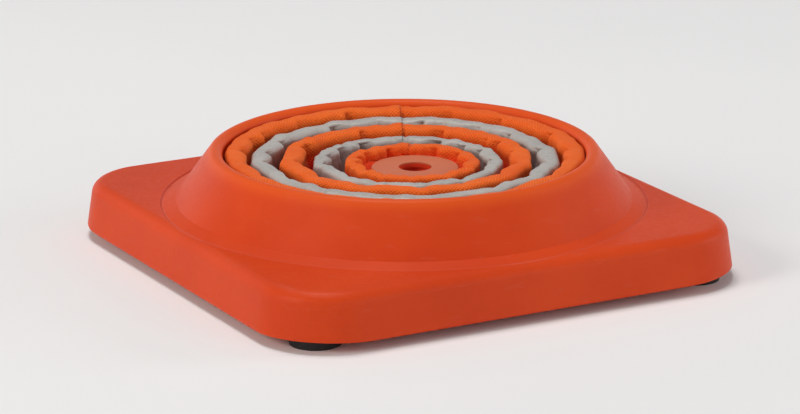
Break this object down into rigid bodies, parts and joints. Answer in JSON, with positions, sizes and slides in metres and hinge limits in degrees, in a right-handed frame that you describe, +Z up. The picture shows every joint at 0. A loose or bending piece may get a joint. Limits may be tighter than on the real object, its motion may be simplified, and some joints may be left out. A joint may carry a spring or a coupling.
{
  "type": "collapsible safety cone",
  "caption": "Pop-up safety cone with orange and grey reflective cloth bands, folded flat into the round well of a square orange plastic base, with a holed cap.",
  "frame": {"origin": "on the ground under the middle of the base, which is the lowest point of the feet", "axes": "+Z up, along the way the cone rises; X and Y along the sides of the square base"},
  "size_m": [0.29, 0.29, 0.0625],
  "materials": {
    "base_plastic": "moulded orange plastic with a soft satin shine",
    "cap_plastic": "paler salmon-orange plastic, slightly translucent",
    "orange_cloth": "coated orange woven cloth",
    "reflective_cloth": "grey reflective cloth, smoother than the orange",
    "foot_rubber": "black rubber",
    "steel": "zinc-plated steel",
    "spring_wire": "drawn spring-steel wire",
    "black_plastic": "black moulded plastic",
    "magnet": "dark grey ferrite"
  },
  "bodies": {
    "base": {"base_shell": "base_plastic", "base_collar": "base_plastic", "bottom_plate": "base_plastic", "foot_front_left": "foot_rubber", "foot_front_right": "foot_rubber", "foot_rear_left": "foot_rubber", "foot_rear_right": "foot_rubber", "foot_screws": "steel", "hem_ring": "black_plastic", "hem_screws": "steel", "catch_pedestal": "base_plastic", "strike_plate": "steel", "catch_screw": "steel", "spring": "spring_wire", "band_1": "orange_cloth"},
    "seam_1": {"seam_hoop_1": "spring_wire", "band_2": "reflective_cloth"},
    "seam_2": {"seam_hoop_2": "spring_wire", "band_3": "orange_cloth"},
    "seam_3": {"seam_hoop_3": "spring_wire", "band_4": "reflective_cloth"},
    "seam_4": {"seam_hoop_4": "spring_wire", "band_5": "orange_cloth"},
    "cap": {"top_cap": "cap_plastic", "cap_ring": "black_plastic", "cap_screws": "steel", "magnet_ring": "magnet"}
  },
  "joints": [
    {"name": "band_1_lift", "type": "slide", "parent": "base", "child": "seam_1", "axis": [0, 0, 1], "range_m": [0, 0.1], "deforming": ["band_1", "spring"]},
    {"name": "band_2_lift", "type": "slide", "parent": "seam_1", "child": "seam_2", "axis": [0, 0, 1], "range_m": [0, 0.096], "deforming": ["band_2"]},
    {"name": "band_3_lift", "type": "slide", "parent": "seam_2", "child": "seam_3", "axis": [0, 0, 1], "range_m": [0, 0.096], "deforming": ["band_3"]},
    {"name": "band_4_lift", "type": "slide", "parent": "seam_3", "child": "seam_4", "axis": [0, 0, 1], "range_m": [0, 0.092], "deforming": ["band_4"]},
    {"name": "band_5_lift", "type": "slide", "parent": "seam_4", "child": "cap", "axis": [0, 0, 1], "range_m": [0, 0.02], "deforming": ["band_5"]}
  ],
  "couplings": [
    {"joint": "band_2_lift", "follows": "band_1_lift", "ratio": 0.96},
    {"joint": "band_3_lift", "follows": "band_1_lift", "ratio": 0.96},
    {"joint": "band_4_lift", "follows": "band_1_lift", "ratio": 0.92},
    {"joint": "band_5_lift", "follows": "band_1_lift", "ratio": 0.2}
  ]
}
